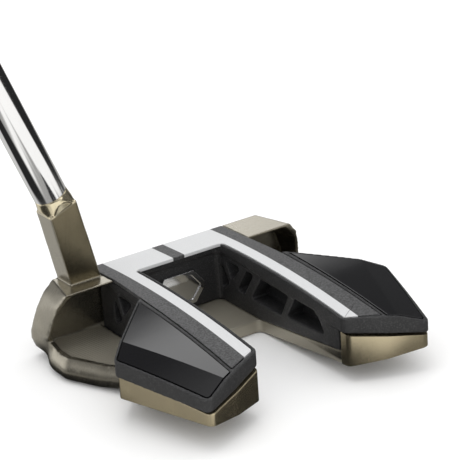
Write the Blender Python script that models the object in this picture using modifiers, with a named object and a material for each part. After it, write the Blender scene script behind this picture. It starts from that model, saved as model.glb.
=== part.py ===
"""A right-handed mallet putter, modelled as the pieces it is assembled from.

Metres, +Z up. The face looks towards -Y, the heel and the shaft are on +X, and the origin is the
middle of the flat of the sole. Outlines are written in millimetres in the head's own frame, whose
y = 0 is the front edge of the crown; the empty putter_head carries that frame to the origin.
"""

import math

import bmesh
import bpy
from mathutils import Matrix, Vector

MM = 0.001
GAP = 0.3  # air between pieces that touch

# Driving dimensions of the head, in millimetres and degrees
CROWN_Z = 24.0
CROWN_EDGE_DROP = 0.2
CROWN_CLIMB = 0.0705
CROWN_FALL = 0.00138
FLOOR_Z = 4.2
POCKET_FLOOR_Z = 5.4
SOLE_CENTRE_Y = 17.0
REAR_LIFT = 0.115
ARM_START_Y = 33.0
ARM_END_Y = 76.0
ARM_IN_X = 16.3
ARM_OUT_X = 29.5
ROOF_REAR_Y = 15.2
FLARE_START_Y = 5.0
FLARE_END_Y = 19.0
FLARE_WIDTH = 3.0
FLARE_FULL_Z = 11.0
CORE_X = 25.3
FACE_WALL_Y = 4.2
POCKET_END_Y = 22.0
FACE_LOFT = 3.0
CAVITY_X = 15.3
CAVITY_Y = 12.1
INLAY_DEPTH = 1.2
WING_START_X = 27.8
WING_FALL = 0.085
CREASE_FALL = 0.18
CREASE_FRONT = (43.7, 50.9)
CREASE_REAR = (31.2, 85.0)

# Face insert
INSERT_HALF = 33.0
INSERT_LOW_Z = 3.6
INSERT_HIGH_Z = 20.4
INSERT_THICK = 2.6
INSERT_DEPTH = 3.2

# Neck, shaft and grip
SHAFT_LIE = 68.5
SHAFT_START = (38.3, 4.3, 53.6)
SHAFT_R = 5.25
SHAFT_WALL = 0.45
SHAFT_BUTT_R = 7.35
CLUB_LENGTH = 864.0
SHAFT_STEPS = 7
SHAFT_FIRST_STEP = 260.0
SHAFT_STEP_PITCH = 38.0
COLLAR_LENGTH = 4.4
COLLAR_R = 5.9
NECK_HALF = 5.1
NECK_HALF_DEPTH = 4.65
NECK_BASE_DEPTH = 9.3
NECK_BASE_X = (25.6, 36.5)
NECK_BASE_Y = 0.3
NECK_BASE_Z = 22.0
POST_R = 4.45
POST_LENGTH = 28.0
GRIP_LENGTH = 267.0
GRIP_WALL_GAP = 0.35
TAPE_THICK = 0.6
GRIP_SIDES = 28
GRIP_FLAT = 10.4
CAP_DEPTH = 6.0

CORE_SCREWS = {
    "heel_front_core_screw": (21.0, 22.0),
    "toe_front_core_screw": (-21.0, 22.0),
    "heel_rear_core_screw": (23.0, 60.0),
    "toe_rear_core_screw": (-23.0, 60.0),
}
SOLE_WEIGHT_PLACE = (31.0, 15.0)
SOLE_WEIGHT_R = 6.2
SOLE_WEIGHT_DEPTH = 3.6
CORE_SCREW_LENGTH = 10.0
WEIGHT_SCREW_PLACE = (36.0, 64.0)
WEIGHT_SCREW_Z = 6.6
CROWN_SEAT_Z = 22.3
LARGE_BODIES = ("chassis", "lattice_core")

COLOURS = {
    "bronze": ((0.43, 0.39, 0.32), 0.32, 1.0),
    "gold": ((0.62, 0.56, 0.42), 0.28, 1.0),
    "nylon": ((0.06, 0.06, 0.065), 0.7, 0.0),
    "gloss_black": ((0.02, 0.02, 0.022), 0.08, 0.0),
    "white": ((0.85, 0.85, 0.85), 0.4, 0.0),
    "grey": ((0.2, 0.2, 0.2), 0.5, 0.0),
    "chrome": ((0.8, 0.8, 0.8), 0.08, 1.0),
    "steel": ((0.5, 0.5, 0.5), 0.35, 1.0),
    "insert": ((0.5, 0.5, 0.52), 0.35, 1.0),
    "tape": ((0.5, 0.45, 0.33), 0.8, 0.0),
    "rubber": ((0.03, 0.03, 0.032), 0.75, 0.0),
}


# ---------------------------------------------------------------- outlines


def rounded(corners, steps=4):
    """The outline with an arc at each corner that gives a radius as its third number."""
    points = []
    for index, corner in enumerate(corners):
        here = Vector(corner[:2])
        if len(corner) < 3:
            points.append(tuple(here))
            continue
        before = (Vector(corners[index - 1][:2]) - here).normalized()
        after = (Vector(corners[(index + 1) % len(corners)][:2]) - here).normalized()
        half = before.angle(after) / 2
        centre = here + (before + after).normalized() * corner[2] / math.sin(half)
        start = here + before * corner[2] / math.tan(half) - centre
        sweep = start.angle_signed(here + after * corner[2] / math.tan(half) - centre)
        for step in range(steps + 1):
            turn = Matrix.Rotation(-sweep * step / steps, 2)
            points.append(tuple(centre + turn @ start))
    return points


def both_sides(half):
    """A whole outline from the heel half of one, listed anticlockwise."""
    return half + [(-x, *rest) for x, *rest in reversed(half)]


def toe_side(outline):
    return [(-x, *rest) for x, *rest in reversed(outline)]


def grown(outline, amount):
    """The outline moved outwards by this much; it runs anticlockwise."""
    points = []
    count = len(outline)
    for index, corner in enumerate(outline):
        here = Vector(corner)
        before = (here - Vector(outline[index - 1])).normalized()
        after = (Vector(outline[(index + 1) % count]) - here).normalized()
        middle = (Vector((before.y, -before.x)) + Vector((after.y, -after.x))).normalized()
        points.append(tuple(here + middle * amount / middle.dot(Vector((after.y, -after.x)))))
    return points


def circle(radius, sides=24):
    turns = [2 * math.pi * step / sides for step in range(sides)]
    return [(radius * math.cos(turn), radius * math.sin(turn)) for turn in turns]


# ---------------------------------------------------------------- scene and mesh helpers


def clear_scene():
    for obj in list(bpy.data.objects):
        bpy.data.objects.remove(obj, do_unlink=True)


def new_collection(name, hidden=False):
    made = bpy.data.collections.new(name)
    made.hide_render = hidden
    bpy.context.scene.collection.children.link(made)
    return made


def make_material(name):
    colour, roughness, metallic = COLOURS[name]
    material = bpy.data.materials.new(name)
    material.use_nodes = True
    shader = material.node_tree.nodes["Principled BSDF"]
    shader.inputs["Base Color"].default_value = (*colour, 1.0)
    shader.inputs["Roughness"].default_value = roughness
    shader.inputs["Metallic"].default_value = metallic
    return material


def add_object(name, mesh, material=None):
    """A part when it has a material, and otherwise a hidden helper for a Boolean."""
    obj = bpy.data.objects.new(name, mesh)
    obj.parent = head
    if material is None:
        helpers.objects.link(obj)
        obj.hide_render = True
        obj.display_type = "WIRE"
    else:
        putter.objects.link(obj)
        mesh.materials.append(materials[material])
    return obj


def tidy_mesh(mesh):
    shape = bmesh.new()
    shape.from_mesh(mesh)
    bmesh.ops.remove_doubles(shape, verts=shape.verts, dist=1e-7)
    bmesh.ops.triangulate(shape, faces=shape.faces)
    bmesh.ops.recalc_face_normals(shape, faces=shape.faces)
    shape.to_mesh(mesh)
    shape.free()


def plate(name, outline, low, high, material=None, along="Z"):
    """A flat outline extruded from low to high along Z, Y or X.

    The outline is (x, y) for Z, (x, z) for Y and (y, z) for X.
    """
    curve = bpy.data.curves.new(name, "CURVE")
    curve.dimensions = "2D"
    curve.fill_mode = "BOTH"
    curve.extrude = (high - low) / 2 * MM
    spline = curve.splines.new("POLY")
    spline.points.add(len(outline) - 1)
    for point, (u, v) in zip(spline.points, outline):
        point.co = (u * MM, v * MM, 0.0, 1.0)
    spline.use_cyclic_u = True
    flat = bpy.data.objects.new(name + "_outline", curve)
    bpy.context.scene.collection.objects.link(flat)
    bpy.context.view_layer.update()
    graph = bpy.context.evaluated_depsgraph_get()
    mesh = bpy.data.meshes.new_from_object(flat.evaluated_get(graph))
    bpy.data.objects.remove(flat)
    middle = (low + high) / 2 * MM
    for vertex in mesh.vertices:
        u, v, w = vertex.co
        w += middle
        vertex.co = {"Z": (u, v, w), "Y": (u, w, v), "X": (w, u, v)}[along]
    tidy_mesh(mesh)
    mesh.name = name
    return add_object(name, mesh, material)


def slice_across(obj, planes):
    """Adds edges where the planes, each a point and a normal in millimetres, cross the mesh."""
    shape = bmesh.new()
    shape.from_mesh(obj.data)
    for point, normal in planes:
        geometry = shape.verts[:] + shape.edges[:] + shape.faces[:]
        bmesh.ops.bisect_plane(
            shape, geom=geometry, plane_co=Vector(point) * MM, plane_no=normal, dist=1e-8
        )
    bmesh.ops.triangulate(shape, faces=shape.faces)
    shape.to_mesh(obj.data)
    shape.free()


def reshape(obj, split, top=None, bottom=None):
    """Raises each vertex above the split height by top(x, y), and each other one by bottom(x, y)."""
    for vertex in obj.data.vertices:
        rise = top if vertex.co.z > split * MM else bottom
        if rise:
            vertex.co.z += rise(vertex.co.x / MM, vertex.co.y / MM) * MM
    tidy_mesh(obj.data)


def loft(name, sections, material=None):
    """A closed solid through rings of points that all have the same number of points."""
    shape = bmesh.new()
    rings = [[shape.verts.new(Vector(point) * MM) for point in ring] for ring in sections]
    for first, second in zip(rings, rings[1:]):
        for index in range(len(first)):
            after = (index + 1) % len(first)
            shape.faces.new((first[index], first[after], second[after], second[index]))
    shape.faces.new(rings[0])
    shape.faces.new(rings[-1])
    mesh = bpy.data.meshes.new(name)
    shape.to_mesh(mesh)
    shape.free()
    tidy_mesh(mesh)
    return add_object(name, mesh, material)


def turned(name, profile, material=None, sides=32):
    """A solid of revolution about Z: the profile is (radius, z), and runs down the outer side."""
    mesh = bpy.data.meshes.new(name)
    points = [(radius * MM, 0.0, z * MM) for radius, z in profile]
    edges = [(index, index + 1) for index in range(len(points) - 1)]
    closed = profile[0][0] > 0
    if closed:
        edges.append((len(points) - 1, 0))
    mesh.from_pydata(points, edges, [])
    obj = add_object(name, mesh, material)
    screw = obj.modifiers.new("turn", "SCREW")
    screw.angle = 2 * math.pi
    screw.steps = sides
    screw.render_steps = sides
    screw.use_merge_vertices = True
    screw.merge_threshold = 1e-6
    bpy.context.view_layer.update()
    graph = bpy.context.evaluated_depsgraph_get()
    whole = bpy.data.meshes.new_from_object(obj.evaluated_get(graph))
    obj.modifiers.clear()
    obj.data = whole
    tidy_mesh(whole)
    whole.shade_smooth()
    whole.set_sharp_from_angle(angle=math.radians(35))
    return obj


def combine(target, other, operation, name):
    boolean = target.modifiers.new(name, "BOOLEAN")
    boolean.operation = operation
    boolean.solver = "MANIFOLD" if target.name in LARGE_BODIES else "EXACT"
    boolean.object = other


def cut(target, cutter):
    combine(target, cutter, "DIFFERENCE", "cut_" + cutter.name)


def join(target, other):
    combine(target, other, "UNION", "join_" + other.name)


def place(obj, x, y, z):
    obj.location = Vector((x, y, z)) * MM
    return obj


# ---------------------------------------------------------------- surfaces of the head


def crown_rise(x, y):
    """The crown is a long shallow arch from front to rear."""
    return CROWN_CLIMB * y - CROWN_FALL * y * y - CROWN_EDGE_DROP


def past_crease(x, y):
    """How far a point lies outside the fold that runs down each wing."""
    along = Vector(CREASE_REAR) - Vector(CREASE_FRONT)
    normal = Vector((along.y, -along.x)).normalized()
    return (Vector((abs(x), y)) - Vector(CREASE_FRONT)).dot(normal)


def top_rise(x, y):
    fall = WING_FALL * max(0.0, abs(x) - WING_START_X) + CREASE_FALL * max(0.0, past_crease(x, y))
    return crown_rise(x, y) - fall


def rear_lift(x, y):
    """The sole and its arms climb behind the floor of the cavity."""
    return REAR_LIFT * max(0.0, y - ARM_START_Y)


def weight_top(x, y):
    return 24.5 - 0.098 * abs(x) - 0.095 * y


def weight_bottom(x, y):
    return 5.7 + 0.056 * (abs(x) - 16.1) + 0.08 * max(0.0, abs(x) - 26.8) + 0.09 * (y - 85.0)


def crown_slices(first, last, step=9.0):
    count = int((last - first) / step)
    return [((0, first + step * (index + 1), 0), (0, 1, 0)) for index in range(count)]


def wing_slices():
    along = Vector(CREASE_REAR) - Vector(CREASE_FRONT)
    planes = []
    for side in (1, -1):
        planes.append(((side * CREASE_FRONT[0], CREASE_FRONT[1], 0), (along.y, -side * along.x, 0)))
        planes.append(((side * WING_START_X, 0, 0), (1, 0, 0)))
    return planes


# ---------------------------------------------------------------- chassis

BLADE_FRONT = [
    (38.5, 23.8),
    (42.3, 20.4),
    (45.2, 15.6),
    (47.5, 9.6),
    (47.9, 6.4),
    (46.4, 2.6),
    (41.5, 0.9),
    (33.0, 0.35),
]
BLADE_REAR = [
    (42.0, 24.3),
    (45.3, 21.0),
    (47.2, 15.6),
    (48.4, 10.4),
    (47.4, 7.2),
    (46.8, 2.8),
    (43.4, 0.9),
    (33.0, 0.35),
]
POCKET = [
    (23.0, POCKET_FLOOR_Z),
    (45.4, POCKET_FLOOR_Z, 1.6),
    (45.4, 10.6, 2.0),
    (43.4, 17.4, 2.0),
    (39.6, 21.4, 1.6),
    (23.0, 21.4),
]
SOLE_HALF = [
    (35.0, 2.2, 3.0),
    (42.6, 8.0, 3.0),
    (45.8, 13.6, 4.0),
    (46.0, 21.0, 5.0),
    (38.0, 38.0, 2.0),
    (37.4, 41.0),
    (ARM_OUT_X, 34.0, 1.5),
    (ARM_OUT_X, ARM_END_Y),
    (ARM_IN_X, ARM_END_Y),
    (ARM_IN_X, ARM_START_Y, 2.0),
]


def face_y(z):
    """The face leans back by its loft."""
    return -math.tan(math.radians(FACE_LOFT)) * (CROWN_Z - z)


def tilt_to_face(obj):
    """Turns a piece drawn on the plane y = 0 so that it lies along the face."""
    obj.location = (0, face_y(0) * MM, 0)
    obj.rotation_euler = (-math.radians(FACE_LOFT), 0, 0)
    return obj


def insert_outline(grow):
    x = INSERT_HALF + grow
    low, high = INSERT_LOW_Z - grow, INSERT_HIGH_Z + grow
    return rounded([(-x, low, 3.0), (x, low, 3.0), (x, high, 3.0), (-x, high, 3.0)])


def shaft_axis():
    lie = math.radians(SHAFT_LIE)
    return Vector((math.cos(lie), 0, math.sin(lie)))


def along_shaft(obj, distance):
    """Stands an upright solid on the shaft's axis, this far up from the shaft's lower end."""
    obj.location = (Vector(SHAFT_START) + shaft_axis() * distance) * MM
    obj.rotation_euler = (0, math.radians(90 - SHAFT_LIE), 0)
    return obj


def make_blade(name):
    front = both_sides(BLADE_FRONT)
    rear = both_sides(BLADE_REAR)
    sections = [
        [(x, face_y(z), z) for x, z in front],
        [(x, ROOF_REAR_Y, z) for x, z in rear],
    ]
    return loft(name, sections, "bronze")


def make_neck():
    """A slanted square neck that ends square to the shaft."""
    axis = shaft_axis()
    side = Vector((axis.z, 0, -axis.x))
    top = Vector(SHAFT_START) - axis * COLLAR_LENGTH
    low_x, high_x = NECK_BASE_X
    front, back = NECK_BASE_Y, NECK_BASE_DEPTH
    corners = ((low_x, front), (high_x, front), (high_x, back), (low_x, back))
    base = [(x, y, NECK_BASE_Z) for x, y in corners]
    turns = ((-1, -1), (1, -1), (1, 1), (-1, 1))
    ring = []
    for across, along in turns:
        ring.append(top + side * NECK_HALF * across + Vector((0, NECK_HALF_DEPTH * along, 0)))
    return loft("neck_shape", [base, ring])


def make_collar():
    """The round collar under the shaft, with the neck's flats run out into it, and the post above."""
    profile = [
        (0, POST_LENGTH),
        (POST_R - 0.5, POST_LENGTH),
        (POST_R, POST_LENGTH - 1),
        (POST_R, 0),
        (SHAFT_R, 0),
        (COLLAR_R, -COLLAR_LENGTH),
        (COLLAR_R, -COLLAR_LENGTH - 0.6),
        (0, -COLLAR_LENGTH - 0.6),
    ]
    collar = along_shaft(turned("collar_shape", profile), 0)
    for index, half in enumerate((NECK_HALF_DEPTH, NECK_HALF, NECK_HALF_DEPTH, NECK_HALF)):
        flare = half + 0.36 * COLLAR_LENGTH
        wedge = [(half, -9), (9, -9), (9, 0.5), (flare, 0), (half, -COLLAR_LENGTH)]
        cutter = plate("collar_flat_%d" % index, wedge, -9, 9, along="X")
        cutter.data.transform(Matrix.Rotation(index * math.pi / 2, 4, "Z"))
        cut(collar, along_shaft(cutter, 0))
    return collar


def make_flare(name, outline):
    """Widens a pocket towards its mouth, so that its walls end in a thin edge. Its floor stays flat."""
    mouth = []
    for (x, z), (wide_x, wide_z) in zip(outline, grown(outline, FLARE_WIDTH)):
        share = min(1.0, max(0.0, (z - LOBE_TOP_Z) / (FLARE_FULL_Z - LOBE_TOP_Z)))
        mouth.append((x + (wide_x - x) * share, max(wide_z, POCKET_FLOOR_Z)))
    sections = [
        [(x, FLARE_START_Y, z) for x, z in outline],
        [(x, FLARE_END_Y, z) for x, z in mouth],
    ]
    return loft(name, sections)


def make_chassis():
    body = make_blade("chassis")
    sole = plate("sole_shape", rounded(both_sides(SOLE_HALF)), 0, POCKET_FLOOR_Z)
    slice_across(sole, crown_slices(24.0, 78.0))
    reshape(sole, 2.0, rear_lift, rear_lift)
    join(body, sole)
    for side, name in ((1, "heel"), (-1, "toe")):
        join(body, make_lobe(name + "_lobe", side))
    bay_half = [(CORE_X, FACE_WALL_Y), (CORE_X, 32.4), (33, 40), (33, 90)]
    bay = plate("core_bay", both_sides(bay_half), FLOOR_Z, 40)
    slice_across(bay, crown_slices(24.0, 90.0))
    reshape(bay, 20, None, rear_lift)
    cut(body, bay)
    seat_half = [(CORE_X, -9.0), (CORE_X, 20.0)]
    cut(body, plate("crown_seat", both_sides(seat_half), CROWN_SEAT_Z, 40))
    for side, name in ((1, "heel"), (-1, "toe")):
        outline = rounded(POCKET)
        outline = outline if side > 0 else toe_side(outline)
        cut(body, plate(name + "_pocket", outline, FACE_WALL_Y, POCKET_END_Y, along="Y"))
        rim = [(10.6, 8.6), (15.0, LOBE_TOP_Z), (46.0, LOBE_TOP_Z), (46.0, 25.0), (15.5, 25.0)]
        low, high = sorted((side * 41.0, side * 60.0))
        cut(body, plate(name + "_rim_trim", rim, low, high, along="X"))
        floor = rounded(LOBE_FLOOR)
        floor = floor if side > 0 else toe_side(floor)
        cut(body, plate(name + "_lobe_floor", floor, POCKET_FLOOR_Z, 12.0))
        cut(body, make_flare(name + "_flare", outline))
        x, y = SOLE_WEIGHT_PLACE
        bore = SOLE_WEIGHT_R + GAP
        hole = [(0, SOLE_WEIGHT_DEPTH), (bore, SOLE_WEIGHT_DEPTH), (bore, -2), (0, -2)]
        cut(body, place(turned(name + "_weight_hole", hole), side * x, y, 0))
    cut(body, tilt_to_face(plate("insert_recess", insert_outline(GAP), -9.0, INSERT_DEPTH, along="Y")))
    join(body, make_neck())
    join(body, make_collar())
    for name, (x, y) in CORE_SCREWS.items():
        hole = [(0, 6), (1.8, 6), (1.8, 2.2), (3.1, 0.6), (3.1, -2), (0, -2)]
        cut(body, place(turned(name + "_hole", hole, sides=16), x, y, rear_lift(x, y)))
    return body


# The two outer lobes of the sole stand a little above the floors that they hold.
LOBE = [
    (30.0, 2.0),
    (40.0, 3.0),
    (46.2, 5.8, 4.0),
    (49.6, 13.0, 5.0),
    (49.8, 22.0, 7.0),
    (41.6, 39.6, 3.2),
    (39.8, 43.6),
    (30.0, 34.6),
]
LOBE_SECTIONS = [(0.0, -2.6), (0.7, -1.0), (2.4, 0.0), (5.0, -0.7), (7.2, -2.4)]
LOBE_TOP_Z = 7.2
LOBE_FLOOR = [
    (24.0, FACE_WALL_Y),
    (45.4, FACE_WALL_Y),
    (45.4, 21.0, 5.0),
    (38.2, 36.4, 1.2),
    (37.0, 46.0),
    (24.0, 46.0),
]


def make_lobe(name, side):
    """One outer lobe: its side bulges below the middle and leans in above it."""
    outline = rounded(LOBE)
    outline = outline if side > 0 else toe_side(outline)
    rings = [[(x, y, height) for x, y in grown(outline, inset)] for height, inset in LOBE_SECTIONS]
    lobe = loft(name, rings)
    slice_across(lobe, crown_slices(24.0, 44.0))
    reshape(lobe, 2.0, rear_lift, rear_lift)
    return lobe


# ---------------------------------------------------------------- core, crown and wings

CORE_HALF = [
    (25.0, 4.5),
    (25.0, 32.2),
    (27.7, 33.5, 0.8),
    (49.9, 55.7, 1.8),
    (39.6, 89.8, 1.8),
    (27.7, 84.9),
    (CAVITY_X, 78.9, 2.6),
    (CAVITY_X, CAVITY_Y, 2.4),
]
SPINE_HALF = [
    (24.6, 5.0),
    (24.6, 32.6),
    (28.9, 37.0),
    (28.9, 75.6),
    (CAVITY_X + 0.5, 75.6),
    (CAVITY_X + 0.5, CAVITY_Y - 0.5, 2.0),
]
CROWN_HALF = [
    (25.0, 0.1),
    (25.0, 15.8),
    (25.9, 34.0),
    (26.7, 82.5),
    (16.6, 77.9, 0.8),
    (16.5, 13.4, 2.0),
]
WING = [(27.9, 35.2), (48.9, 56.2, 0.8), (38.6, 88.0, 1.0), (28.3, 83.6)]
THROUGH_WINDOWS = {
    "front": [(12.9, 8.4), (17.2, 11.4), (12.9, 18.8)],
    "middle": [(18.6, 13.0), (24.4, 19.2), (15.6, 19.2)],
    "rear": [(21.4, 10.6), (25.6, 10.6), (31.6, 19.2), (27.4, 19.2)],
}
BLIND_WINDOWS = {
    "front": [(29.3, 10.4), (45.8, 10.4), (50.6, 19.0), (35.4, 19.0)],
    "rear": [(48.8, 10.8), (68.8, 11.8), (64.4, 18.6), (54.0, 18.9)],
}


def follow_top(obj):
    """Bends a flat piece of the crown or a wing to the top surface of the head."""
    slice_across(obj, crown_slices(0.0, 88.0) + wing_slices())
    reshape(obj, -1.0, top_rise)
    return obj


def core_underside(x, y):
    """The core's overhang: it clears the rear weights, and is a thin lip round the cavity."""
    return min(weight_top(x, y) + 0.6, 20.6 + crown_rise(x, y))


def make_core():
    core = plate("lattice_core", rounded(both_sides(CORE_HALF)), 12.0, CROWN_Z, "nylon")
    slice_across(core, crown_slices(0.0, 88.0) + wing_slices())
    reshape(core, 15.0, top_rise, lambda x, y: core_underside(x, y) - 12.0)
    spine = plate("spine_shape", rounded(both_sides(SPINE_HALF)), FLOOR_Z + GAP, CROWN_Z - 2.0)
    slice_across(spine, crown_slices(0.0, 88.0))
    reshape(spine, 15.0, crown_rise, rear_lift)
    join(core, spine)
    crown = grown(rounded(both_sides(CROWN_HALF)), GAP)
    cut(core, follow_top(plate("crown_recess", crown, CROWN_Z - 1.5, 27)))
    for name, outline in (("heel", rounded(WING)), ("toe", toe_side(rounded(WING)))):
        cut(core, follow_top(plate(name + "_wing_recess", grown(outline, GAP), CROWN_Z - 1.5, 27)))
    cut_windows(core, THROUGH_WINDOWS, "_through_window", 31)
    cut_windows(core, BLIND_WINDOWS, "_blind_window", 22)
    for name, (x, y) in CORE_SCREWS.items():
        hole = [(0, CORE_SCREW_LENGTH + 0.5), (1.8, CORE_SCREW_LENGTH + 0.5), (1.8, 0), (0, 0)]
        cut(core, place(turned(name + "_thread", hole, sides=16), x, y, rear_lift(x, y)))
    for side, name in ((1, "heel"), (-1, "toe")):
        x, y = WEIGHT_SCREW_PLACE
        hole = [(0, 12.8), (1.8, 12.8), (1.8, 4), (0, 4)]
        cut(core, place(turned(name + "_weight_thread", hole, sides=16), side * x, y, WEIGHT_SCREW_Z))
    return core


def make_crown():
    return follow_top(
        plate("crown_plate", rounded(both_sides(CROWN_HALF)), CROWN_Z - INLAY_DEPTH, CROWN_Z, "white")
    )


def make_wings():
    for name, outline in (("heel", rounded(WING)), ("toe", toe_side(rounded(WING)))):
        follow_top(plate(name + "_wing_plate", outline, CROWN_Z - INLAY_DEPTH, CROWN_Z, "gloss_black"))


def cut_windows(core, windows, ending, reach):
    """Openings from side to side through the lattice's struts."""
    for name, window in windows.items():
        outline = rounded([(y, z, 0.8) for y, z in window])
        cut(core, plate(name + ending, outline, -reach, reach, along="X"))


def make_badge():
    """A plain elongated hexagon on the front wall of the cavity."""
    corners = ((-9.8, 12.2), (-5.6, 6.6), (5.6, 6.6), (9.8, 12.2), (5.6, 17.8), (-5.6, 17.8))
    outline = rounded([(x, z, 1.0) for x, z in corners])
    back = CAVITY_Y - 0.5 + GAP
    badge = plate("cavity_badge", outline, back, back + 1.0, "chrome", along="Y")
    inner = [(x * 0.8, 12.2 + (z - 12.2) * 0.76) for x, z in outline]
    cut(badge, plate("badge_recess", inner, back + 0.6, back + 2.0, along="Y"))


# ---------------------------------------------------------------- face, weights and screws


def make_face():
    tilt_to_face(plate("face_insert", insert_outline(0), 0, INSERT_THICK - 0.4, "insert", along="Y"))
    low, high = INSERT_THICK - 0.1, INSERT_THICK + 0.3
    tilt_to_face(plate("insert_tape", insert_outline(-1.0), low, high, "tape", along="Y"))


def hexagon(name, across, low, high):
    return plate(name, circle(across / math.sqrt(3), 6), low, high)


def make_core_screws():
    for name, (x, y) in CORE_SCREWS.items():
        length = CORE_SCREW_LENGTH
        profile = [(0, length), (1.45, length), (1.45, 2.2), (2.75, 0.9), (2.75, 0.5), (0, 0.5)]
        screw = place(turned(name, profile, "steel", sides=16), x, y, rear_lift(x, y))
        cut(screw, place(hexagon(name + "_socket", 2.0, -1.0, 1.7), x, y, rear_lift(x, y)))


def make_sole_weights():
    x, y = SOLE_WEIGHT_PLACE
    top = SOLE_WEIGHT_DEPTH - GAP
    profile = [(0, top), (SOLE_WEIGHT_R, top), (SOLE_WEIGHT_R, 0.4), (SOLE_WEIGHT_R - 0.4, 0), (0, 0)]
    for side, name in ((1, "heel_sole_weight"), (-1, "toe_sole_weight")):
        weight = place(turned(name, profile, "gold"), side * x, y, 0)
        cut(weight, place(hexagon(name + "_socket", 5.0, -1.0, 1.8), side * x, y, 0))


REAR_WEIGHT = [
    (29.9, 36.2, 1.1),
    (47.9, 53.8, 1.4),
    (39.2, 90.0, 1.8),
    (26.8, 85.2),
    (16.2, 80.1, 2.0),
    (16.2, ARM_END_Y + 0.4),
    (29.9, ARM_END_Y + 0.4),
]


def make_rear_weights():
    x, y = WEIGHT_SCREW_PLACE
    for side, name in ((1, "heel"), (-1, "toe")):
        outline = rounded(REAR_WEIGHT)
        outline = outline if side > 0 else toe_side(outline)
        weight = plate(name + "_rear_weight", outline, 0, 10, "gold")
        slice_across(weight, [((side * 26.8, 0, 0), (1, 0, 0))])
        reshape(weight, 5, lambda x, y: weight_top(x, y) - 10, weight_bottom)
        hole = [(0, 12), (1.8, 12), (1.8, 2.7), (3.1, 2.7), (3.1, -4), (0, -4)]
        cut(weight, place(turned(name + "_weight_bore", hole, sides=16), side * x, y, WEIGHT_SCREW_Z))
        profile = [(0, 12), (1.45, 12), (1.45, 2.4), (2.8, 2.4), (2.8, 0), (0, 0)]
        screw = turned(name + "_rear_weight_screw", profile, "steel", sides=16)
        place(screw, side * x, y, WEIGHT_SCREW_Z)
        socket = hexagon(name + "_weight_socket", 2.5, -1.0, 1.4)
        cut(screw, place(socket, side * x, y, WEIGHT_SCREW_Z))


# ---------------------------------------------------------------- shaft and grip


def shaft_length():
    return CLUB_LENGTH - SHAFT_START[2] / math.sin(math.radians(SHAFT_LIE))


def make_shaft():
    """A stepped steel tube: straight over the lower part, then widening towards the butt."""
    outer = [(SHAFT_R, 0.0)]
    for step in range(SHAFT_STEPS):
        radius = SHAFT_R + (SHAFT_BUTT_R - SHAFT_R) * step / SHAFT_STEPS
        wider = SHAFT_R + (SHAFT_BUTT_R - SHAFT_R) * (step + 1) / SHAFT_STEPS
        height = SHAFT_FIRST_STEP + SHAFT_STEP_PITCH * step
        outer += [(radius, height), (wider, height + 0.8)]
    outer.append((SHAFT_BUTT_R, shaft_length()))
    inner = [(radius - SHAFT_WALL, height) for radius, height in outer]
    along_shaft(turned("shaft", outer[::-1] + inner, "chrome"), 0)


def make_grip():
    length = shaft_length()
    start = length - GRIP_LENGTH
    bore = SHAFT_BUTT_R + GRIP_WALL_GAP + TAPE_THICK + GRIP_WALL_GAP
    tape_in = SHAFT_BUTT_R + GRIP_WALL_GAP
    tape_out = tape_in + TAPE_THICK
    tape_end = GRIP_LENGTH - 4
    tape = [(tape_out, tape_end), (tape_out, 6), (tape_in, 6), (tape_in, tape_end)]
    along_shaft(turned("grip_tape", tape, "tape"), start)
    sections = []
    for share in (0.0, 0.02, 0.1, 0.25, 0.4, 0.55, 0.68, 0.8, 0.9, 0.96, 1.0):
        swell = 0.5 - 0.5 * math.cos(math.pi * min(1.0, share / 0.75))
        end = 1.0 if share > 0.0 else 0.93
        half_width = (10.4 + 1.9 * swell) * end
        back = (10.5 + 4.8 * swell - 2.0 * max(0.0, share - 0.8) / 0.2) * end
        ring = []
        for step in range(GRIP_SIDES):
            turn = 2 * math.pi * step / GRIP_SIDES
            across = back * math.cos(turn) if math.cos(turn) > 0 else half_width * math.cos(turn)
            height = share * (GRIP_LENGTH + CAP_DEPTH)
            ring.append((max(across, -GRIP_FLAT * end), half_width * math.sin(turn), height))
        sections.append(ring)
    grip = along_shaft(loft("grip", sections, "rubber"), start)
    hollow = [(bore, GRIP_LENGTH + 20), (bore, -20), (0, -20)]
    cut(grip, along_shaft(turned("grip_bore", [(0, GRIP_LENGTH + 20)] + hollow), start))
    top = CAP_DEPTH
    profile = [(1.2, top), (bore - GAP, top), (bore - GAP, GAP), (1.2, GAP)]
    along_shaft(turned("grip_cap", profile, "rubber"), length)


# ---------------------------------------------------------------- the whole club

clear_scene()
putter = new_collection("mallet_putter")
helpers = new_collection("construction", hidden=True)
head = bpy.data.objects.new("putter_head", None)
head.location = (0, -SOLE_CENTRE_Y * MM, 0)
putter.objects.link(head)
materials = {name: make_material(name) for name in COLOURS}

make_chassis()
make_core()
make_crown()
make_wings()
make_badge()
make_face()
make_core_screws()
make_sole_weights()
make_rear_weights()
make_shaft()
make_grip()
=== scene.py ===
"""The looks of the mallet putter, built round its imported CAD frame."""

import math

import bmesh
import bpy
from mathutils import Matrix, Vector


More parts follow.
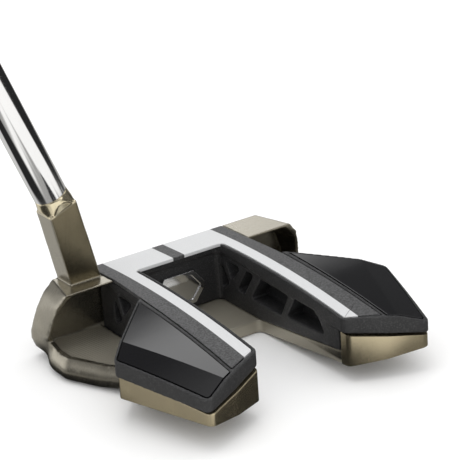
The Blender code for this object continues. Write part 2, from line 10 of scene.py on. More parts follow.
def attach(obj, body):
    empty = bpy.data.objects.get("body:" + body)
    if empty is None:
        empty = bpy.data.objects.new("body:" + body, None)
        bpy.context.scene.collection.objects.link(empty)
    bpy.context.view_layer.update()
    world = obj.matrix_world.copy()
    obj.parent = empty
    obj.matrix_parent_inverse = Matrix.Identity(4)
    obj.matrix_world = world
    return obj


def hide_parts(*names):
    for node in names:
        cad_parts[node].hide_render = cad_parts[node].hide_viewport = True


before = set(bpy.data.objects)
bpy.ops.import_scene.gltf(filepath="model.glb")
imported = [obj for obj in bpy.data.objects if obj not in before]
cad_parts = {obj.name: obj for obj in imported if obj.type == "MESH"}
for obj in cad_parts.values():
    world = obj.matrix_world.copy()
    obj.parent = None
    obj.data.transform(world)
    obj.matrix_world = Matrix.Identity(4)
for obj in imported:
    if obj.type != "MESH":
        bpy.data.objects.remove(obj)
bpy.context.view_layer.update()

# Lengths are in metres, in the frame's axes: +X to the heel, +Y to the rear, +Z up. Colours are linear.
MM = 0.001
HEAD_Y = -17.0  # the crown's front edge, in millimetres
SHAFT_LIE = math.radians(68.5)
SHAFT_START = Vector((38.3, 4.3 + HEAD_Y, 53.6)) * MM
SHAFT_AXIS = Vector((math.cos(SHAFT_LIE), 0, math.sin(SHAFT_LIE)))

# ---------------------------------------------------------------- camera, floor and light

# Angles in degrees; the shift is to the camera's own right and up; lens and sensor in millimetres.
CAMERA_AZIMUTH = 147.539
CAMERA_ELEVATION = 22.652
CAMERA_ROLL = -3.994
CAMERA_DISTANCE = 0.64593
CAMERA_SHIFT = (0.022586, 0.020773)
CAMERA_TARGET = (0.0, HEAD_Y * MM, 0.0068)
CAMERA_LENS = 155.41
CAMERA_SENSOR = 36.0
CAMERA_CLIP = (0.01, 20.0)


def make_camera():
    """The photograph's viewpoint, as it was fitted to the photograph."""
    azimuth, elevation, roll = (math.radians(v) for v in (CAMERA_AZIMUTH, CAMERA_ELEVATION, CAMERA_ROLL))
    level = Vector((math.sin(azimuth), -math.cos(azimuth), 0))
    back = level * math.cos(elevation) + Vector((0, 0, math.sin(elevation)))
    right = Vector((math.cos(azimuth), math.sin(azimuth), 0))
    up = back.cross(right)
    turned_right = right * math.cos(roll) + up * math.sin(roll)
    turned_up = up * math.cos(roll) - right * math.sin(roll)
    camera = bpy.data.objects.new("camera", bpy.data.cameras.new("camera"))
    camera.data.lens = CAMERA_LENS
    camera.data.sensor_width = CAMERA_SENSOR
    camera.data.clip_start, camera.data.clip_end = CAMERA_CLIP
    place = Vector(CAMERA_TARGET) + back * CAMERA_DISTANCE
    place += turned_right * CAMERA_SHIFT[0] + turned_up * CAMERA_SHIFT[1]
    turn = Matrix((turned_right, turned_up, back)).transposed()
    camera.matrix_world = Matrix.Translation(place) @ turn.to_4x4()
    bpy.context.scene.collection.objects.link(camera)
    bpy.context.scene.camera = camera


def add_softbox(name, place, target, size, power):
    """A rectangular light that polished surfaces don't see."""
    light = bpy.data.lights.new(name, "AREA")
    light.shape = "RECTANGLE"
    light.size, light.size_y = size
    light.energy = power
    lamp = bpy.data.objects.new(name, light)
    lamp.location = place
    lamp.rotation_euler = (Vector(place) - Vector(target)).to_track_quat("Z", "Y").to_euler()
    lamp.visible_glossy = False
    bpy.context.scene.collection.objects.link(lamp)


FLOOR_SIZE = 12.0
FLOOR_TOP = -0.0002  # just under the sole
FLOOR_SEEN = (0.98, 0.98, 0.98)
FLOOR_IN_METAL = (0.36, 0.355, 0.34)

CARD_WHITE = (0.95, 0.94, 0.91)
CARD_PALE = (0.56, 0.555, 0.54)
CARD_DIM = (0.13, 0.127, 0.118)
CARD_BLACK = (0.02, 0.02, 0.02)

# The cards that polished metal sees on the floor, each lying over the ones before it: a colour and its
# patches. A patch is where all of its rows hold. A row is what is measured, from, to (None is without end)
# and how soft the edges are. "slanted" is y - x / 4, "leaning" is x + y / 2, and "side" is |x|.
FLOOR_CARDS = [
    # under the cavity
    (CARD_WHITE, [[("x", -0.030, 0.026, 0.006), ("y", -0.020, 0.030, 0.006)]]),
    # before the heel
    (CARD_PALE, [[("x", 0.040, None, 0.010), ("y", None, -0.005, 0.012)]]),
    # behind the whole head
    (CARD_WHITE, [[("slanted", 0.088, None, 0.005), ("x", None, 0.080, 0.012)]]),
    # behind the toe
    (CARD_DIM, [[("y", 0.060, 0.128, 0.006), ("leaning", None, 0.0195, 0.004)]]),
    # beside the heel, and far beyond the toe
    (CARD_BLACK, [[("x", 0.080, None, 0.006), ("y", -0.060, 0.016, 0.008)], [("x", None, -0.320, 0.040)]]),
    # a narrow strip beside the rear of the heel, and a wide one behind it
    (CARD_WHITE, [
        [("x", 0.085, 0.106, 0.006), ("y", 0.022, None, 0.006)],
        [("x", 0.075, 0.450, 0.010), ("y", 0.065, None, 0.012)],
    ]),
    # where the lobes of the sole come down to the floor: a black card that paints their shadow into what the
    # metal sees there
    (CARD_BLACK, [[("side", 0.040, 0.0585, 0.003), ("y", -0.022, 0.034, 0.006)]]),
    # behind the cavity
    (CARD_BLACK, [[("x", -0.020, 0.032, 0.006), ("y", 0.040, 0.090, 0.006)]]),
]


def reflected_floor(look):
    """What polished metal sees of the floor: a grey one with soft-edged cards on it."""
    x, y, _ = look.axes()
    measured = {"x": x, "y": y, "side": look.math("ABSOLUTE", x)}
    measured["slanted"] = look.math("SUBTRACT", y, look.math("MULTIPLY", x, 0.25))
    measured["leaning"] = look.math("ADD", x, look.math("MULTIPLY", y, 0.5))
    seen = FLOOR_IN_METAL
    for colour, patches in FLOOR_CARDS:
        share = None
        for rows in patches:
            patch = look.times(*(look.between(measured[what], *edges) for what, *edges in rows))
            share = patch if share is None else look.math("MAXIMUM", share, patch)
        seen = look.mix(share, seen, colour)
    return seen


# Each glow of the room: azimuth and elevation in degrees, full within, gone beyond, strength.
GLOWS = [
    (-123.0, 45.0, 2.0, 13.0, 2.4),
    (-117.5, 20.0, 4.0, 15.0, 1.6),
    (-50.0, 6.0, 10.0, 36.0, 1.2),
    (0.0, 90.0, 5.0, 36.0, 1.5),
    (95.0, 38.0, 4.0, 26.0, 1.0),
    (5.0, 34.0, 4.0, 24.0, 0.8),
    (178.0, 36.0, 4.0, 22.0, 0.8),
    (120.0, 12.0, 3.0, 14.0, 1.8),
]
ROOM_LIGHT = 1.06
ROOM_SEEN_IN_METAL = 0.13


def make_room():
    """Even light for matt surfaces; polished ones see a dim room with soft glows in it."""
    world = bpy.data.worlds.new("studio")
    bpy.context.scene.world = world
    world.use_nodes = True
    tree = world.node_tree
    background = tree.nodes["Background"]
    background.inputs["Color"].default_value = (1, 1, 1, 1)
    direction = tree.nodes.new("ShaderNodeTexCoord").outputs["Generated"]
    total = None
    for azimuth, elevation, full, gone, strength in GLOWS:
        turn, tilt = math.radians(azimuth), math.radians(elevation)
        toward = tree.nodes.new("ShaderNodeVectorMath")
        toward.operation = "DOT_PRODUCT"
        level = math.cos(tilt)
        toward.inputs[1].default_value = (math.cos(turn) * level, math.sin(turn) * level, math.sin(tilt))
        tree.links.new(direction, toward.inputs[0])
        glow = tree.nodes.new("ShaderNodeMapRange")
        glow.interpolation_type = "SMOOTHSTEP"
        glow.inputs["From Min"].default_value = math.cos(math.radians(gone))
        glow.inputs["From Max"].default_value = math.cos(math.radians(full))
        glow.inputs["To Max"].default_value = strength
        tree.links.new(toward.outputs["Value"], glow.inputs["Value"])
        adding = tree.nodes.new("ShaderNodeMath")
        adding.inputs[1].default_value = ROOM_SEEN_IN_METAL
        tree.links.new(glow.outputs["Result"], adding.inputs[0])
        if total:
            tree.links.new(total, adding.inputs[1])
        total = adding.outputs[0]
    choice = tree.nodes.new("ShaderNodeMix")
    tree.links.new(tree.nodes.new("ShaderNodeLightPath").outputs["Is Glossy Ray"], choice.inputs[0])
    choice.inputs[2].default_value = ROOM_LIGHT
    tree.links.new(total, choice.inputs[3])
    tree.links.new(choice.outputs[0], background.inputs["Strength"])


def make_studio():
    """A pale floor in soft light; polished metal sees a darker room with glows, and cards on its floor."""
    bpy.ops.mesh.primitive_plane_add(size=FLOOR_SIZE, location=(0, 0, FLOOR_TOP))
    floor = bpy.context.object
    floor.name = "floor"
    look = Look("floor")
    in_metal = look.node("ShaderNodeLightPath").outputs["Is Glossy Ray"]
    look.base(look.mix(in_metal, FLOOR_SEEN, reflected_floor(look)))
    look.set("Roughness", 0.95)
    look.set("Specular IOR Level", 0.0)
    floor.data.materials.append(look.material)
    make_room()
    add_softbox("top_softbox", place=(0.1, 0.0, 1.2), target=(0, 0, 0), size=(0.6, 0.6), power=2.4)
    bpy.context.scene.view_settings.view_transform = "Standard"


# ---------------------------------------------------------------- materials


class Look:
    """A material under construction: its Principled BSDF and the nodes that feed it."""

    def __init__(self, name):
        self.material = bpy.data.materials.new(name)
        self.material.use_nodes = True
        self.tree = self.material.node_tree
        self.shader = self.tree.nodes["Principled BSDF"]
        self.height = None

    def node(self, kind, **settings):
        made = self.tree.nodes.new(kind)
        for key, value in settings.items():
            setattr(made, key, value)
        return made

    def feed(self, source, socket):
        if isinstance(source, bpy.types.NodeSocket):
            self.tree.links.new(source, socket)
        elif isinstance(source, tuple) and len(source) == 3 and socket.type == "RGBA":
            socket.default_value = (*source, 1.0)
        else:
            socket.default_value = source

    def set(self, name, value):
        self.feed(value, self.shader.inputs[name])

    def base(self, value):
        self.set("Base Color", value)

    def place(self):
        """The point's place in the frame."""
        return self.node("ShaderNodeNewGeometry").outputs["Position"]

    def apart(self, vector):
        parts = self.node("ShaderNodeSeparateXYZ")
        self.feed(vector, parts.inputs[0])
        return parts.outputs[0], parts.outputs[1], parts.outputs[2]

    def axes(self):
        """The point's place as separate X, Y and Z."""
        return self.apart(self.place())

    def facing(self):
        """The surface's direction as separate X, Y and Z."""
        return self.apart(self.node("ShaderNodeNewGeometry").outputs["Normal"])

    def math(self, operation, first, second=0.0):
        made = self.node("ShaderNodeMath", operation=operation)
        for value, socket in zip((first, second), made.inputs):
            self.feed(value, socket)
        return made.outputs[0]

    def times(self, first, *others):
        for other in others:
            first = self.math("MULTIPLY", first, other)
        return first

    def step(self, value, edge, width=0.00004):
        """0 below the edge and 1 above it."""
        made = self.node("ShaderNodeMapRange", interpolation_type="SMOOTHSTEP")
        self.feed(value, made.inputs["Value"])
        made.inputs["From Min"].default_value = edge - width
        made.inputs["From Max"].default_value = edge + width
        return made.outputs["Result"]

    def between(self, value, low, high, width=0.00004):
        """1 from the low edge to the high one and 0 outside them; None leaves that side without an edge."""
        above = 1.0 if low is None else self.step(value, low, width)
        beyond = 0.0 if high is None else self.step(value, high, width)
        return self.math("SUBTRACT", above, beyond)

    def mix(self, share, first, second):
        """The first colour where the share is 0 and the second where it is 1."""
        made = self.node("ShaderNodeMix", data_type="RGBA")
        self.feed(share, made.inputs[0])
        self.feed(first, made.inputs[6])
        self.feed(second, made.inputs[7])
        return made.outputs[2]

    def spread(self, value, low, high, source=(0.0, 1.0)):
        """The value's range, `source`, mapped on to low and high."""
        made = self.node("ShaderNodeMapRange")
        self.feed(value, made.inputs["Value"])
        made.inputs["From Min"].default_value, made.inputs["From Max"].default_value = source
        made.inputs["To Min"].default_value = low
        made.inputs["To Max"].default_value = high
        return made.outputs["Result"]

    def stretched(self, scale, turn=(0, 0, 0)):
        """The point's place, turned and scaled, for a noise with a direction."""
        made = self.node("ShaderNodeMapping")
        self.feed(self.place(), made.inputs["Vector"])
        made.inputs["Rotation"].default_value = turn
        made.inputs["Scale"].default_value = scale
        return made.outputs[0]

    def noise(self, size, detail=3.0, where=None, roughness=0.5):
        """Noise whose blotches are about this many metres across."""
        made = self.node("ShaderNodeTexNoise")
        self.feed(where or self.place(), made.inputs["Vector"])
        made.inputs["Scale"].default_value = 0.5 / size
        made.inputs["Detail"].default_value = detail
        made.inputs["Roughness"].default_value = roughness
        return made.outputs[0]

    def bump(self, height, metres, strength=1.0):
        """Adds relief of this depth on top of any relief already there."""
        made = self.node("ShaderNodeBump")
        made.inputs["Strength"].default_value = strength
        made.inputs["Distance"].default_value = metres
        self.feed(height, made.inputs["Height"])
        if self.height:
            self.feed(self.height, made.inputs["Normal"])
        self.height = made.outputs[0]
        self.feed(self.height, self.shader.inputs["Normal"])

    def edges(self):
        """1 on outer edges and 0 elsewhere, from the mesh's own shape."""
        point = self.node("ShaderNodeNewGeometry").outputs["Pointiness"]
        return self.spread(point, 0.0, 1.0, (0.52, 0.60))


METAL_SHARE = 0.97
POCKET_FLOOR_METAL_SHARE = 0.5
# A brighter gold for the collar: a painted highlight on the same plated chassis.
COLLAR_PAINTED_HIGHLIGHT = (0.74, 0.66, 0.47)
# Painted shade for the neck's rear face: a darker olive standing in for the dark room it reflects.
NECK_BACK_PAINTED_SHADE = (0.22, 0.19, 0.125)
NECK_FOOT_Z = 0.0240
COLLAR_BELOW_SHAFT = 0.0049  # how far the collar's foot lies below the shaft's end, along the shaft
CAVITY_HALF_X = 0.0310
LOW_Z = 0.0060  # the pockets' floors and the cavity's lie below this
TOE_POCKET = ((-0.0462, -0.0255), (-0.0132, 0.0060), (0.0052, 0.0216))  # its X, Y and Z
# How dark the painted shade in the toe pocket is, as a share of the colour.
TOE_POCKET_PAINTED_SHADE = 0.45
SHARP = 0.0004
LINE_PITCH = 0.00095
LINE_SLANT = (0.987, 0.16)
LINE_Z = (0.0049, 0.0058)
LINE_FROM_SIDE = 0.026


def milled_metal(name, colour, roughness, chassis=False):
    """Satin plated steel: a fine milling grain, faint clouding and edges a little brighter, partly as wear
    and partly as a painted highlight.
    """
    look = Look(name)
    cloud = look.noise(0.006, 4)
    grain = look.noise(0.00018, 2, look.stretched((1, 14, 14), (0.1, 0.2, 0.3)))
    dark, bright, worn_and_highlit = (tuple(min(1.0, v * share) for v in colour) for share in (0.86, 1.12, 1.5))
    plain = look.mix(cloud, dark, bright)
    rough = look.spread(look.math("ADD", cloud, grain), roughness * 0.8, roughness * 1.25, (0.6, 1.4))
    metal = METAL_SHARE
    if chassis:
        plain, rough, metal = chassis_zones(look, colour, plain, rough)
    # Convex edges get a paler colour: partly wear, partly a painted highlight standing in for bright edge
    # lines.
    look.base(look.mix(look.edges(), plain, worn_and_highlit))
    look.set("Metallic", metal)
    look.set("Roughness", rough)
    look.bump(grain, 0.000006, 0.5)
    look.bump(look.noise(0.0009, 2), 0.00001, 0.25)
    if chassis:
        look.bump(milled_lines(look), 0.00004, 0.8)
    return look.material


def chassis_zones(look, colour, plain, rough):
    """The chassis's zones: a collar painted brighter gold as a highlight, duller low floors, a toe pocket
    painted darker as shade and a back of the neck painted darker as shade.
    """
    collar = above_neck(look)
    # The collar's brighter gold colour is a painted highlight.
    plain = look.mix(collar, plain, COLLAR_PAINTED_HIGHLIGHT)
    rough = look.times(rough, look.spread(collar, 1.0, 0.6))
    x, y, z = look.axes()
    inner = look.between(look.math("ABSOLUTE", x), None, CAVITY_HALF_X, 0.0010)
    upward = look.step(look.facing()[2], 0.90, 0.05)
    low = look.times(look.math("MAXIMUM", upward, inner), look.between(z, None, LOW_Z, SHARP))
    rough = look.times(rough, look.spread(low, 1.0, 1.5))
    # Painted shade: the toe pocket's colour is darkened where shadow falls in it.
    in_pocket = look.times(*(look.between(v, *ends, SHARP) for v, ends in zip((x, y, z), TOE_POCKET)))
    plain = look.mix(in_pocket, plain, tuple(v * TOE_POCKET_PAINTED_SHADE for v in colour))
    # Painted shade: the neck's rear face is coloured a darker olive for the dark it reflects.
    plain = look.mix(painted_shade_on_neck_back(look), plain, NECK_BACK_PAINTED_SHADE)
    return plain, rough, look.spread(low, METAL_SHARE, POCKET_FLOOR_METAL_SHARE)


def painted_shade_on_neck_back(look):
    """1 on the neck's rear face, which is darker than the rest in the photograph; that darkness is painted
    on here as shade.
    """
    above = look.step(look.axes()[2], NECK_FOOT_Z, 0.0010)
    below = look.math("SUBTRACT", 1.0, above_neck(look))
    return look.times(look.step(look.facing()[1], 0.90, 0.06), above, below)


def above_neck(look):
    """1 on the round collar between the neck and the shaft, and 0 below it."""
    height = look.node("ShaderNodeVectorMath", operation="DOT_PRODUCT")
    look.feed(look.place(), height.inputs[0])
    height.inputs[1].default_value = SHAFT_AXIS
    return look.step(height.outputs["Value"], SHAFT_START.dot(SHAFT_AXIS) - COLLAR_BELOW_SHAFT, 0.0003)


def milled_lines(look):
    """Cutter lines on the floors of the two pockets."""
    x, y, z = look.axes()
    side = look.math("ABSOLUTE", x)
    across = look.math("ADD", look.times(side, LINE_SLANT[0]), look.times(y, LINE_SLANT[1]))
    wave = look.math("SINE", look.times(across, 2 * math.pi / LINE_PITCH))
    at_floor = look.between(z, *LINE_Z, 0.0003)
    upward = look.step(look.facing()[2], 0.97, 0.02)
    return look.times(wave, at_floor, look.step(side, LINE_FROM_SIDE, 0.0006), upward)


def sintered_nylon():
    """Powder-sintered black nylon: a sandy surface with paler flecks, and paler edges that are a painted
    highlight.
    """
    look = Look("sintered_nylon")
    sand = look.noise(0.00030, 2, None, 0.6)
    flecks = look.step(look.noise(0.00019, 1), 0.60, 0.08)
    cloud = look.noise(0.004, 3)
    body = look.mix(cloud, (0.013, 0.013, 0.014), (0.024, 0.024, 0.025))
    body = look.mix(look.math("MULTIPLY", flecks, 0.4), body, (0.085, 0.085, 0.085))
    # The paler edges are a painted highlight for the thin bright edge lines on the rims.
    look.base(look.mix(look.edges(), body, (0.045, 0.045, 0.046)))
    look.set("Roughness", look.spread(sand, 0.42, 0.62))
    look.set("Specular IOR Level", 0.5)
    look.bump(sand, 0.00009, 0.8)
    look.bump(look.noise(0.0007, 2), 0.00008, 0.35)
    return look.material


CROWN_BORDER_X = 0.0205
SIGHT_BAR_HALF_X = 0.0021
SIGHT_BAR_END_Y = HEAD_Y * MM + 0.016


def crown_paint():
    """The crown: white middle stripes, grey borders and one dark sight bar, over the same sandy nylon."""
    look = Look("crown_paint")
    x, y, _ = look.axes()
    side = look.math("ABSOLUTE", x)
    sand = look.noise(0.00022, 2, None, 0.6)
    grain = look.spread(look.noise(0.00030, 2, None, 0.6), 0.0, 1.0, (0.34, 0.66))
    grey = look.mix(grain, (0.020, 0.020, 0.021), (0.085, 0.085, 0.087))
    white = look.mix(sand, (0.56, 0.565, 0.57), (0.68, 0.685, 0.69))
    border = look.step(side, CROWN_BORDER_X)
    bar = look.times(look.between(side, None, SIGHT_BAR_HALF_X), look.between(y, None, SIGHT_BAR_END_Y))
    dark = look.math("MAXIMUM", border, bar)
    look.base(look.mix(dark, white, grey))
    look.set("Roughness", look.spread(sand, 0.38, 0.58))
    look.bump(sand, 0.00006, 0.5)
    look.bump(look.math("SUBTRACT", 1.0, dark), 0.00004, 0.6)
    return look.material


def gloss_wing():
    """Polished black lacquer with a very faint waviness and fine dust in it."""
    look = Look("gloss_wing")
    specks = look.step(look.noise(0.0002, 1), 0.72, 0.04)
    look.base(look.mix(specks, (0.006, 0.006, 0.007), (0.014, 0.014, 0.015)))
    look.set("Roughness", look.spread(look.noise(0.005, 3), 0.05, 0.11))
    look.bump(look.noise(0.006, 2), 0.00002, 0.25)
    return look.material


def chrome_plate(name="chrome_plate", roughness=0.05):
    """Polished chrome with faint smears along the club."""
    look = Look(name)
    smear = look.noise(0.003, 4, look.stretched((1, 1, 0.12)))
    look.base(look.mix(smear, (0.76, 0.765, 0.78), (0.88, 0.88, 0.89)))
    look.set("Metallic", 1.0)
    look.set("Roughness", look.spread(smear, roughness * 0.6, roughness * 1.8, (0.3, 0.7)))
    look.bump(look.noise(0.002, 2), 0.000003, 0.3)
    return look.material


def machined_steel():
    """Plain machined steel, for the screws."""
    look = Look("machined_steel")
    grain = look.noise(0.0002, 3)
    look.base(look.mix(grain, (0.32, 0.32, 0.33), (0.5, 0.5, 0.51)))
    look.set("Metallic", 1.0)
    look.set("Roughness", look.spread(grain, 0.25, 0.42))
    look.bump(grain, 0.00001, 0.4)
    return look.material


def face_metal():
    """Milled steel with its grain across the face, for the insert."""
    look = Look("face_metal")
    grain = look.noise(0.0002, 3, look.stretched((0.08, 1, 1)))
    look.base(look.mix(grain, (0.36, 0.36, 0.37), (0.52, 0.52, 0.53)))
    look.set("Metallic", 1.0)
    look.set("Roughness", look.spread(grain, 0.24, 0.4))
    look.bump(grain, 0.00001, 0.5)
    return look.material


def adhesive_tape():
    """Matt, fibrous tape."""
    look = Look("adhesive_tape")
    fibre = look.noise(0.0006, 4)
    look.base(look.mix(fibre, (0.42, 0.36, 0.25), (0.6, 0.54, 0.42)))
    look.set("Roughness", look.spread(fibre, 0.75, 0.9))
    look.bump(fibre, 0.00005, 0.5)
    return look.material


def grip_rubber():
    """Matt black rubber with fine pores."""
    look = Look("grip_rubber")
    pore = look.noise(0.0003, 3)
    cloud = look.noise(0.012, 3)
    look.base(look.mix(cloud, (0.011, 0.011, 0.012), (0.024, 0.024, 0.025)))
    look.set("Roughness", look.spread(pore, 0.55, 0.8))
    look.bump(pore, 0.00006, 0.6)
    return look.material


def use_look(piece, material):
    """Gives a CAD node this material in every slot."""
    if piece.data.materials:
        for index in range(len(piece.data.materials)):
            piece.data.materials[index] = material
    else:
        piece.data.materials.append(material)


# ---------------------------------------------------------------- finished pieces


def copied(name, node):
    """A new object with a copy of the CAD node's mesh."""
    piece = bpy.data.objects.new(name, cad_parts[node].data.copy())
    bpy.context.scene.collection.objects.link(piece)
    return piece


def apply_modifiers(piece):
    bpy.context.view_layer.update()
    graph = bpy.context.evaluated_depsgraph_get()
    finished = bpy.data.meshes.new_from_object(piece.evaluated_get(graph))
    piece.modifiers.clear()
    piece.data = finished
    return finished


SMOOTHING = 0.5  # the share of each smoothing step that is taken
FLOW_STEPS = 240


def finish_piece(name, node, material, voxel, smoothing, faces, shape=None, curved=None):
    """A machined or moulded version of a CAD solid: the same shape with soft edges and filled corners.
    `curved` picks the points that are smoothed much further, and `shape` moves single points."""
    piece = copied(name, node)
    remesh = piece.modifiers.new("remesh", "REMESH")
    remesh.mode = "VOXEL"
    remesh.voxel_size = voxel
    smooth = piece.modifiers.new("smooth", "SMOOTH")
    smooth.factor = SMOOTHING
    smooth.iterations = smoothing
    dense = apply_modifiers(piece)
    if curved:
        group = piece.vertex_groups.new(name="curved")
        group.add([vertex.index for vertex in dense.vertices if curved(vertex)], 1.0, "REPLACE")
        flow = piece.modifiers.new("flow", "SMOOTH")
        flow.factor = SMOOTHING
        flow.iterations = FLOW_STEPS
        flow.vertex_group = "curved"
        dense = apply_modifiers(piece)
        piece.vertex_groups.clear()
    if shape:
        for vertex in dense.vertices:
            shape(vertex.co)
    if len(dense.polygons) > faces:
        thin = piece.modifiers.new("thin", "DECIMATE")
        thin.ratio = faces / (2 * len(dense.polygons))  # each remeshed face is a quad, so two triangles
        apply_modifiers(piece)
    piece.data.materials.clear()
    piece.data.materials.append(material)
    piece.data.shade_smooth()
    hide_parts(node)
    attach(piece, "root")
    return piece


MERGE_DISTANCE = 0.000002
FLAT_ANGLE = math.radians(0.6)


def edged_piece(name, node, material, width, segments=3, angle=28, crease=42):
    """A CAD solid with every sharp edge broken by a small rounded chamfer. Edges sharper than `angle`
    degrees are chamfered, and those sharper than `crease` after that are shaded as edges."""
    piece = copied(name, node)
    shape = bmesh.new()
    shape.from_mesh(piece.data)
    bmesh.ops.remove_doubles(shape, verts=shape.verts, dist=MERGE_DISTANCE)
    bmesh.ops.dissolve_limit(shape, angle_limit=FLAT_ANGLE, verts=shape.verts, edges=shape.edges)
    shape.to_mesh(piece.data)
    shape.free()
    bevel = piece.modifiers.new("edge", "BEVEL")
    bevel.width = width
    bevel.segments = segments
    bevel.limit_method = "ANGLE"
    bevel.angle_limit = math.radians(angle)
    bevel.miter_outer = "MITER_ARC"
    chamfered = apply_modifiers(piece)
    chamfered.shade_smooth()
    chamfered.set_sharp_from_angle(angle=math.radians(crease))
    weigh = piece.modifiers.new("weigh", "WEIGHTED_NORMAL")
    weigh.keep_sharp = True
    weigh.weight = 100
    apply_modifiers(piece)
    piece.data.materials.clear()
    piece.data.materials.append(material)
    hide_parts(node)
    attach(piece, "root")
    return piece


END_WALL_FROM_SIDE = 0.0375
END_WALL_OUTWARD = 0.35
END_WALL_Z = (0.0006, 0.0228)
END_WALL_TO_Y = 0.0250


def on_end_wall(vertex):
    """Whether a point lies on the outside of the blade's ends or of the sole's lobes."""
    x, y, z = vertex.co
    if abs(x) <= END_WALL_FROM_SIDE or y >= END_WALL_TO_Y or not END_WALL_Z[0] < z < END_WALL_Z[1]:
        return False
    return vertex.normal.x * math.copysign(1.0, x) > END_WALL_OUTWARD


def make_head():
    """Every piece of the head, each over its own CAD node."""
    lacquer = gloss_wing()
    bronze = milled_metal("bronze_plating", (0.36, 0.335, 0.275), 0.27, chassis=True)
    gold = milled_metal("gold_plating", (0.52, 0.45, 0.305), 0.24)
    nylon = sintered_nylon()
    finish_piece("chassis_finish", "chassis", bronze, 0.00024, 10, 110000, curved=on_end_wall)
    finish_piece("core_finish", "lattice_core", nylon, 0.00023, 9, 120000)
    for side in ("heel", "toe"):
        edged_piece(side + "_weight_finish", side + "_rear_weight", gold, 0.00055, 4)
        edged_piece(side + "_sole_weight_finish", side + "_sole_weight", gold, 0.0002, 2)
        edged_piece(side + "_wing_finish", side + "_wing_plate", lacquer, 0.00028, 3, 40, 7)
    edged_piece("crown_finish", "crown_plate", crown_paint(), 0.0002, 2, 40)
    edged_piece("badge_finish", "cavity_badge", chrome_plate(), 0.00022, 3)
    groove_face(edged_piece("insert_finish", "face_insert", face_metal(), 0.0002, 2))
    tape = adhesive_tape()
    use_look(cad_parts["insert_tape"], tape)
    use_look(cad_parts["grip_tape"], tape)
    steel = machined_steel()
    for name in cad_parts:
        if name.endswith("_screw"):
            use_look(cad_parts[name], steel)


GROOVE_PITCH = 0.0021
GROOVE_HALF = 0.00035
GROOVE_SLOPE = 0.00015
GROOVE_DEPTH = 0.0002
GROOVE_END_X = 0.0312
GROOVE_MARGIN = 0.0014  # left plain at the insert's top and bottom
FRONT_FACING = -0.95  # the direction's Y of a face that counts as the striking side
TOUCHING = 0.00001


def groove_face(piece):
    """Level milled grooves across the insert's striking side."""
    shape = bmesh.new()
    shape.from_mesh(piece.data)
    heights = [vertex.co.z for vertex in shape.verts]
    low, high = min(heights) + GROOVE_MARGIN, max(heights) - GROOVE_MARGIN
    count = int((high - low) / GROOVE_PITCH)
    first = (low + high - count * GROOVE_PITCH) / 2
    middles = [first + GROOVE_PITCH * index for index in range(count + 1)]
    planes = [((side * GROOVE_END_X, 0, 0), (1, 0, 0)) for side in (-1, 1)]
    for middle in middles:
        for reach in (-GROOVE_HALF - GROOVE_SLOPE, -GROOVE_HALF, GROOVE_HALF, GROOVE_HALF + GROOVE_SLOPE):
            planes.append(((0, 0, middle + reach), (0, 0, 1)))
    for place, direction in planes:
        front = [face for face in shape.faces if face.normal.y < FRONT_FACING]
        lines = {edge for face in front for edge in face.edges}
        corners = {vertex for face in front for vertex in face.verts}
        geometry = [*front, *lines, *corners]
        bmesh.ops.bisect_plane(shape, geom=geometry, plane_co=place, plane_no=direction, dist=0.000001)
    for vertex in shape.verts:
        in_front = all(face.normal.y < FRONT_FACING for face in vertex.link_faces)
        if in_front and abs(vertex.co.x) < GROOVE_END_X + TOUCHING:
            if min(abs(vertex.co.z - middle) for middle in middles) < GROOVE_HALF + TOUCHING:
                vertex.co.y += GROOVE_DEPTH
    shape.to_mesh(piece.data)
    shape.free()


GRIP_RIB_PITCH = 0.0055
GRIP_RIB_HALF = 0.0009
GRIP_RIB_DEPTH = 0.0005
GRIP_RIB_RADIUS = 0.0094  # only what lies further out than this is pressed in
GRIP_PLAIN_END = 0.016


def make_grip():
    """The rubber grip, with shallow rings pressed into it between two plain ends."""
    places = [(vertex.co - SHAFT_START).dot(SHAFT_AXIS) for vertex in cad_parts["grip"].data.vertices]
    first, last = min(places) + GRIP_PLAIN_END, max(places) - GRIP_PLAIN_END

    def press(point):
        offset = point - SHAFT_START
        height = offset.dot(SHAFT_AXIS)
        outward = offset - SHAFT_AXIS * height
        if outward.length < GRIP_RIB_RADIUS or not first < height < last:
            return
        away = abs((height - first) % GRIP_RIB_PITCH - GRIP_RIB_PITCH / 2)
        if away < GRIP_RIB_HALF:
            depth = GRIP_RIB_DEPTH * (0.5 + 0.5 * math.cos(math.pi * away / GRIP_RIB_HALF))
            point -= outward.normalized() * depth

    rubber = grip_rubber()
    finish_piece("grip_finish", "grip", rubber, 0.0007, 3, 70000, press)
    edged_piece("grip_cap_finish", "grip_cap", rubber, 0.0004, 3)


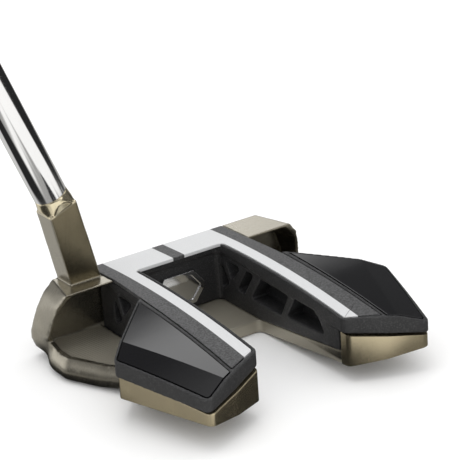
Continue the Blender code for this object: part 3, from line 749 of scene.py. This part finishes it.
SHAFT_SIDES = 96
SHAFT_WALL = 0.00045
SHAFT_LIP = 0.00025  # the chamfer round its lower end
SHAFT_CREASE = math.radians(30)
RINGS_PER_METRE = 10000  # points nearer to each other than 0.1 mm along the shaft are one ring


def ring_mesh(name, profile, sides):
    """A surface of revolution about the shaft's axis, from (radius, distance along the shaft) in metres."""
    shape = bmesh.new()
    rings = []
    for radius, height in profile:
        ring = []
        for index in range(sides):
            turn = 2 * math.pi * index / sides
            ring.append(shape.verts.new((radius * math.cos(turn), radius * math.sin(turn), height)))
        rings.append(ring)
    for first, second in zip(rings, rings[1:] + rings[:1]):
        for index in range(sides):
            after = (index + 1) % sides
            shape.faces.new((first[index], first[after], second[after], second[index]))
    bmesh.ops.recalc_face_normals(shape, faces=shape.faces)
    mesh = bpy.data.meshes.new(name)
    shape.to_mesh(mesh)
    shape.free()
    mesh.shade_smooth()
    mesh.set_sharp_from_angle(angle=SHAFT_CREASE)
    piece = bpy.data.objects.new(name, mesh)
    bpy.context.scene.collection.objects.link(piece)
    piece.location = SHAFT_START
    piece.rotation_euler = (0, math.pi / 2 - SHAFT_LIE, 0)
    bpy.context.view_layer.update()
    return piece


def shaft_radii():
    """The CAD shaft's outer radius and distance along the axis at each of its rings."""
    found = {}
    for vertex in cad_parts["shaft"].data.vertices:
        offset = vertex.co - SHAFT_START
        height = offset.dot(SHAFT_AXIS)
        radius = (offset - SHAFT_AXIS * height).length
        key = round(height * RINGS_PER_METRE)
        found[key] = max(found.get(key, (0, 0))[0], radius), height
    return [found[key] for key in sorted(found)]


def make_shaft():
    """The stepped shaft as a thin tube, rounder than its CAD solid."""
    outer = shaft_radii()
    radius, foot = outer[0]
    soft = [(radius - SHAFT_LIP, foot), (radius, foot + SHAFT_LIP), *outer[1:]]
    inner = [(radius - SHAFT_WALL, height) for radius, height in reversed(outer)]
    shaft = ring_mesh("shaft_finish", soft + inner, SHAFT_SIDES)
    shaft.data.materials.append(chrome_plate("shaft_chrome", 0.07))
    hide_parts("shaft")
    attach(shaft, "root")


make_head()
make_shaft()
make_grip()

make_camera()
make_studio()
